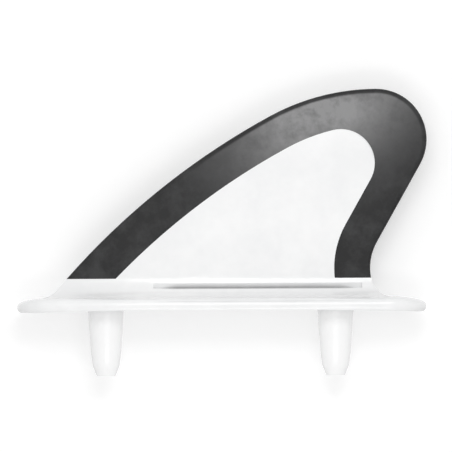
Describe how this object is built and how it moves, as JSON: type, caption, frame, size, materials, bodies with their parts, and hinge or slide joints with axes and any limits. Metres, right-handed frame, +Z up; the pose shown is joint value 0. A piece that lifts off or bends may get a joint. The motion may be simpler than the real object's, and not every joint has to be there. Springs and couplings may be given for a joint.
{
  "type": "surfboard fin",
  "caption": "Soft-edged centre fin for a bolt-through surfboard: a swept rigid blade on a long oval base, a rubber rim moulded round it, and tapered posts with threaded inserts.",
  "frame": {"origin": "on the base's hollowed underside, midway between the two posts", "axes": "+X along the base from the leading edge to the trailing edge, +Y across the blade, +Z up the blade, away from the board"},
  "size_m": [0.1655, 0.034, 0.1154],
  "materials": {
    "core": "gloss moulded",
    "soft_edge": "matt moulded",
    "insert": "machined"
  },
  "bodies": {
    "root": {"core": "core", "soft_edge": "soft_edge", "front_insert": "insert", "rear_insert": "insert"}
  },
  "joints": []
}
